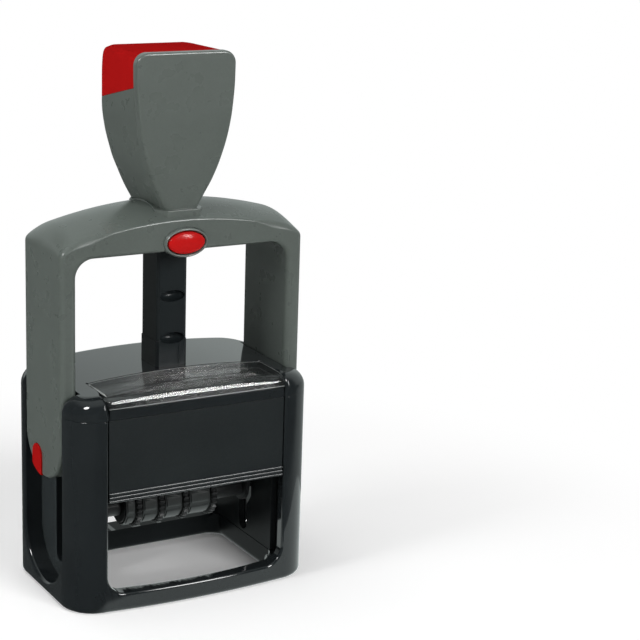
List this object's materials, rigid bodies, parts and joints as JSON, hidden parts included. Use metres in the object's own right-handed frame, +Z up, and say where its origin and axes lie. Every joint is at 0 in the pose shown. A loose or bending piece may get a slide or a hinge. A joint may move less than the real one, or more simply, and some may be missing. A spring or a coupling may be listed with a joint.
{
  "type": "self-inking date stamp",
  "caption": "Upright self-inking date stamp: push-down handle bow on a guide column, flip-over print carriage with date wheels, ink cartridge and clear imprint window.",
  "frame": {"origin": "centre of the base rim that stands on the paper, at floor level", "axes": "+X to the right seen from the front, +Y to the back, +Z up along the guide column"},
  "size_m": [0.0856, 0.0572, 0.1755],
  "materials": {
    "housing_gloss": "gloss blue-black moulding",
    "panel_satin": "satin black moulding",
    "column_satin": "satin black moulding",
    "inner_satin": "matt black moulding",
    "clear_cover": "clear polished",
    "pad_felt": "ink-soaked felt",
    "handle_grey": "fine-grained satin grey",
    "accent_red": "semi-gloss red",
    "spring_steel": "drawn wire",
    "die_rubber": "laser-cut rubber",
    "band_rubber": "moulded rubber"
  },
  "bodies": {
    "base": {"base_frame": "housing_gloss", "top_cover": "housing_gloss", "front_panel": "panel_satin", "rear_panel": "panel_satin", "guide_column": "column_satin", "left_track_plate": "inner_satin", "right_track_plate": "inner_satin"},
    "window_cover": {"imprint_window_cover": "clear_cover"},
    "ink_cartridge": {"pad_tray": "panel_satin", "ink_pad": "pad_felt"},
    "handle": {"handle_bow": "handle_grey", "knob_body": "handle_grey", "knob_cap": "accent_red", "knob_face_plate": "handle_grey", "button_bezel": "handle_grey", "left_leg_insert": "accent_red", "right_leg_insert": "accent_red", "return_spring": "spring_steel", "left_pivot_pin": "spring_steel", "right_pivot_pin": "spring_steel"},
    "button": {"lock_button": "accent_red", "latch_slide": "inner_satin"},
    "carriage": {"carriage_frame": "inner_satin", "text_plate": "inner_satin", "text_die": "die_rubber", "band_bridge": "inner_satin", "wheel_axle": "inner_satin", "day_tens_band": "band_rubber", "day_units_band": "band_rubber", "month_band": "band_rubber", "year_band": "band_rubber"},
    "day_tens_dial": {"day_tens_wheel": "inner_satin"},
    "day_units_dial": {"day_units_wheel": "inner_satin"},
    "month_dial": {"month_wheel": "inner_satin"},
    "year_dial": {"year_wheel": "inner_satin"}
  },
  "joints": [
    {"name": "handle_slide", "type": "slide", "parent": "base", "child": "handle", "axis": [0, 0, -1], "range_m": [0, 0.031], "stiffness_N_per_m": 300, "springref_m": -0.03, "deforming": ["return_spring"]},
    {"name": "carriage_flip", "type": "hinge", "parent": "handle", "child": "carriage", "pos_m": [0, 0, 0.043], "axis": [-1, 0, 0], "range_deg": [0, 180]},
    {"name": "lock_button_push", "type": "slide", "parent": "handle", "child": "button", "axis": [0, 1, 0], "range_m": [0, 0.0025], "stiffness_N_per_m": 200, "springref_m": -0.002},
    {"name": "ink_cartridge_slide", "type": "slide", "parent": "base", "child": "ink_cartridge", "axis": [0, 1, 0], "range_m": [0, 0.045]},
    {"name": "window_cover_lift", "type": "slide", "parent": "base", "child": "window_cover", "axis": [0, 0, 1], "range_m": [0, 0.006]},
    {"name": "day_tens_turn", "type": "hinge", "parent": "carriage", "child": "day_tens_dial", "pos_m": [0, 0, 0.025], "axis": [1, 0, 0], "continuous": true},
    {"name": "day_units_turn", "type": "hinge", "parent": "carriage", "child": "day_units_dial", "pos_m": [0, 0, 0.025], "axis": [1, 0, 0], "continuous": true},
    {"name": "month_turn", "type": "hinge", "parent": "carriage", "child": "month_dial", "pos_m": [0, 0, 0.025], "axis": [1, 0, 0], "continuous": true},
    {"name": "year_turn", "type": "hinge", "parent": "carriage", "child": "year_dial", "pos_m": [0, 0, 0.025], "axis": [1, 0, 0], "continuous": true}
  ],
  "couplings": [
    {"joint": "carriage_flip", "follows": "handle_slide", "rad_per_m": 101.34}
  ]
}
